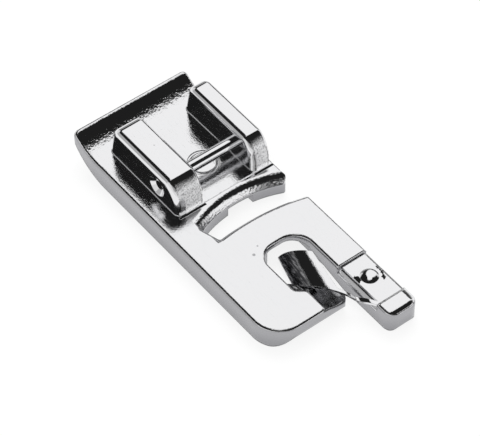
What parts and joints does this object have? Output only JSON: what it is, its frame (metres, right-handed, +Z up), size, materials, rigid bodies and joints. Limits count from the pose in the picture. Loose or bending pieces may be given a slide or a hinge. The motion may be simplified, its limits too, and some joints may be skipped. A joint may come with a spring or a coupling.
{
  "type": "sewing machine presser foot",
  "caption": "Clip-on rolled-hem presser foot: chrome-plated cast sole with upturned back, eared cross pin, needle slot and a riveted scroll that rolls the fabric edge.",
  "frame": {"origin": "on the sole plane, under the middle of the foot", "axes": "+X to the operator's right, +Y to the back of the machine along the foot, +Z up"},
  "size_m": [0.016, 0.042, 0.0071],
  "materials": {
    "chrome_casting": "bright chrome plate over a zinc die casting",
    "bright_pin": "ground and plated steel pin",
    "plated_sheet": "bright plated bent sheet",
    "plated_rivet": "bright plated rivet head"
  },
  "bodies": {
    "root": {"foot_body": "chrome_casting", "cross_pin": "bright_pin", "hemming_scroll": "plated_sheet", "scroll_rivet": "plated_rivet"}
  },
  "joints": []
}
